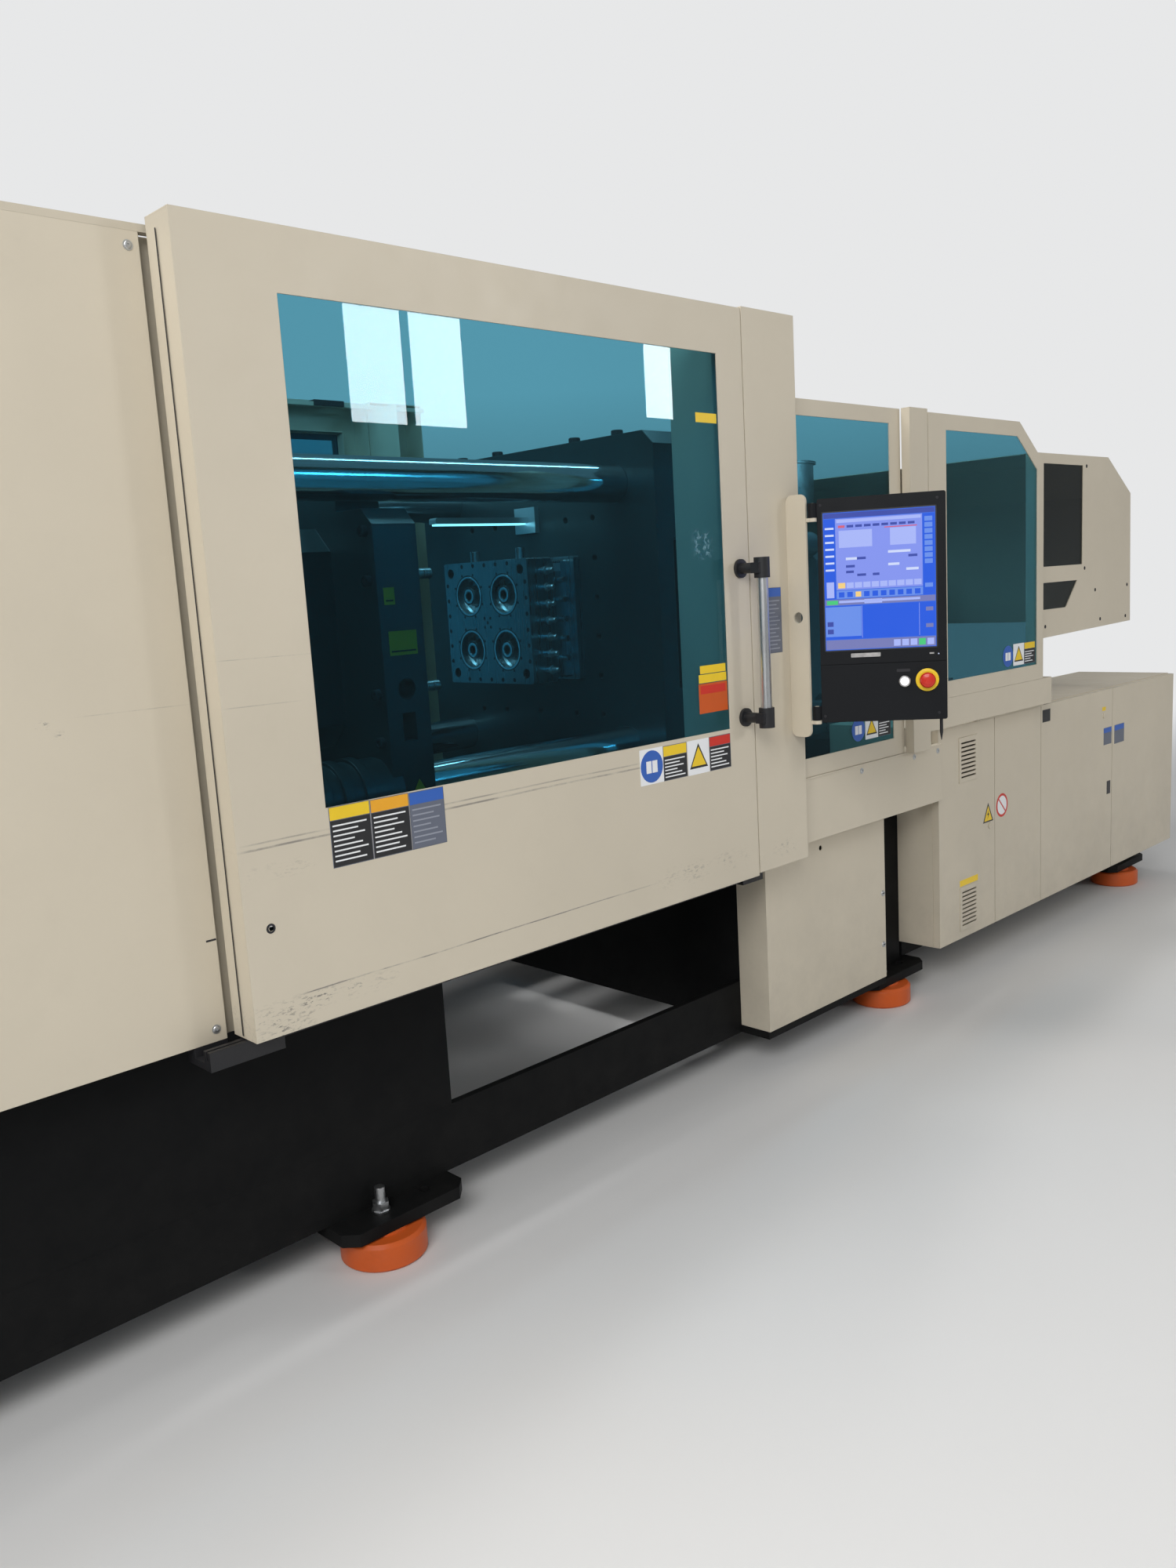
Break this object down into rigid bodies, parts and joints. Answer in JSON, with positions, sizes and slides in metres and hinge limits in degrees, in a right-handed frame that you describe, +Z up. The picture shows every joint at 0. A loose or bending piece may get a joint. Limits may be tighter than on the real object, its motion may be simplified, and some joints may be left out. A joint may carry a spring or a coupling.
{
  "type": "injection moulding machine",
  "caption": "Horizontal injection moulding machine with sliding gates, tinted windows, swinging control panel, central clamp ram, mould, injection unit and electric cabinet.",
  "frame": {"origin": "centre of the bounding box on the floor", "axes": "+X from the clamp end to the injection end, +Y from the operator side to the rear, +Z up"},
  "size_m": [6.29, 2.2558, 2.182],
  "materials": {
    "cover_paint": "satin light cream powder coat, slightly worn",
    "base_paint": "satin anthracite paint",
    "platen_paint": "satin grey paint on castings",
    "unit_paint": "satin grey paint",
    "orange_pad": "glossy orange paint",
    "bare_steel": "turned and ground steel",
    "ground_chrome": "ground hard chrome",
    "mould_steel": "ground tool steel",
    "barrel_steel": "heat-darkened steel",
    "band_metal": "stainless band jackets",
    "black_fittings": "black glass-filled plastic",
    "handle_aluminium": "natural anodised tube",
    "tinted_pane": "teal tinted polycarbonate",
    "smoked_pane": "smoked polycarbonate",
    "panel_black": "fine textured black coat",
    "screen": "lit blue touch screen",
    "red_plastic": "red mushroom head",
    "white_plastic": "lit white lens"
  },
  "bodies": {
    "frame": {"clamp_base": "base_paint", "injection_base": "base_paint", "levelling_pads": "orange_pad", "levelling_studs": "bare_steel", "base_aprons": "cover_paint", "end_platen": "platen_paint", "clamp_cylinder": "platen_paint", "stationary_platen": "platen_paint", "tie_bars": "ground_chrome", "tie_bar_nuts": "bare_steel", "fixed_mould_half": "mould_steel", "clamp_cover_front": "cover_paint", "clamp_cover_rear": "cover_paint", "clamp_cover_end": "cover_paint", "clamp_roof": "cover_paint", "platen_cover_front": "cover_paint", "platen_cover_rear": "cover_paint", "gate_rails": "bare_steel", "gate_guides": "black_fittings", "panel_bracket": "cover_paint", "column_cover": "cover_paint", "guard_track": "cover_paint", "far_cover": "cover_paint", "far_window": "smoked_pane", "injection_cover_rear": "cover_paint", "cabinet_body": "cover_paint", "slide_rails": "bare_steel", "pull_in_rods": "ground_chrome"},
    "front_gate": {"front_gate_panel": "cover_paint", "front_gate_window": "tinted_pane", "gate_handle_tube": "handle_aluminium", "front_gate_fittings": "black_fittings"},
    "rear_gate": {"rear_gate_panel": "cover_paint", "rear_gate_window": "tinted_pane", "rear_gate_fittings": "black_fittings"},
    "clamp_slide_body": {"moving_platen": "platen_paint", "clamp_ram": "ground_chrome", "moving_mould_half": "mould_steel"},
    "ejector": {"ejector_plate": "bare_steel"},
    "purge_guard": {"purge_guard_panel": "cover_paint", "purge_guard_window": "tinted_pane"},
    "injection_guard": {"injection_guard_panel": "cover_paint", "injection_guard_window": "tinted_pane"},
    "control_panel": {"panel_housing": "panel_black", "touch_screen": "screen", "stylus": "black_fittings"},
    "estop": {"estop_button": "red_plastic"},
    "start": {"start_button": "white_plastic"},
    "injection_unit": {"injection_carriage": "unit_paint", "barrel": "barrel_steel", "heater_bands": "band_metal", "hopper": "bare_steel"},
    "injection_drive": {"drive_plate": "unit_paint"},
    "plasticising_screw": {"screw": "bare_steel"},
    "lid": {"hopper_lid": "bare_steel"},
    "door_1": {"cabinet_door_1": "cover_paint"},
    "door_2": {"cabinet_door_2": "cover_paint"},
    "door_3": {"cabinet_door_3": "cover_paint"},
    "door_4": {"cabinet_door_4": "cover_paint"}
  },
  "joints": [
    {"name": "front_gate_slide", "type": "slide", "parent": "frame", "child": "front_gate", "axis": [-1, 0, 0], "range_m": [0, 1.25]},
    {"name": "rear_gate_slide", "type": "slide", "parent": "frame", "child": "rear_gate", "axis": [-1, 0, 0], "range_m": [0, 1.25]},
    {"name": "clamp_slide", "type": "slide", "parent": "frame", "child": "clamp_slide_body", "axis": [1, 0, 0], "range_m": [-0.15, 0.3995]},
    {"name": "ejector_slide", "type": "slide", "parent": "clamp_slide_body", "child": "ejector", "axis": [1, 0, 0], "range_m": [0, 0.058]},
    {"name": "purge_guard_slide", "type": "slide", "parent": "frame", "child": "purge_guard", "axis": [0, 0, 1], "range_m": [0, 0.6]},
    {"name": "injection_guard_slide", "type": "slide", "parent": "frame", "child": "injection_guard", "axis": [1, 0, 0], "range_m": [0, 0.45]},
    {"name": "panel_swing", "type": "hinge", "parent": "frame", "child": "control_panel", "pos_m": [0.17, -0.83508, 1.377], "axis": [0, 0, 1], "range_deg": [-60, 50]},
    {"name": "estop_press", "type": "slide", "parent": "control_panel", "child": "estop", "axis": [0.832, 0.5548, 0], "range_m": [0, 0.006]},
    {"name": "start_press", "type": "slide", "parent": "control_panel", "child": "start", "axis": [0.832, 0.5548, 0], "range_m": [0, 0.003], "stiffness_N_per_m": 300},
    {"name": "carriage_slide", "type": "slide", "parent": "frame", "child": "injection_unit", "axis": [1, 0, 0], "range_m": [0, 0.25]},
    {"name": "injection_stroke", "type": "slide", "parent": "injection_unit", "child": "injection_drive", "axis": [-1, 0, 0], "range_m": [0, 0.18]},
    {"name": "screw_rotation", "type": "hinge", "parent": "injection_drive", "child": "plasticising_screw", "pos_m": [1.455, 0.14192, 1.39], "axis": [1, 0, 0], "continuous": true},
    {"name": "hopper_lid_hinge", "type": "hinge", "parent": "injection_unit", "child": "lid", "pos_m": [1.3105, 0.31392, 1.907], "axis": [-1, 0, 0], "range_deg": [0, 100]},
    {"name": "cabinet_door_1_hinge", "type": "hinge", "parent": "frame", "child": "door_1", "pos_m": [1.047, -0.70808, 0.548], "axis": [0, 0, -1], "range_deg": [0, 100]},
    {"name": "cabinet_door_2_hinge", "type": "hinge", "parent": "frame", "child": "door_2", "pos_m": [1.813, -0.70808, 0.548], "axis": [0, 0, 1], "range_deg": [0, 90]},
    {"name": "cabinet_door_3_hinge", "type": "hinge", "parent": "frame", "child": "door_3", "pos_m": [1.817, -0.70808, 0.548], "axis": [0, 0, -1], "range_deg": [0, 90]},
    {"name": "cabinet_door_4_hinge", "type": "hinge", "parent": "frame", "child": "door_4", "pos_m": [3.143, -0.70808, 0.548], "axis": [0, 0, 1], "range_deg": [0, 100]}
  ]
}
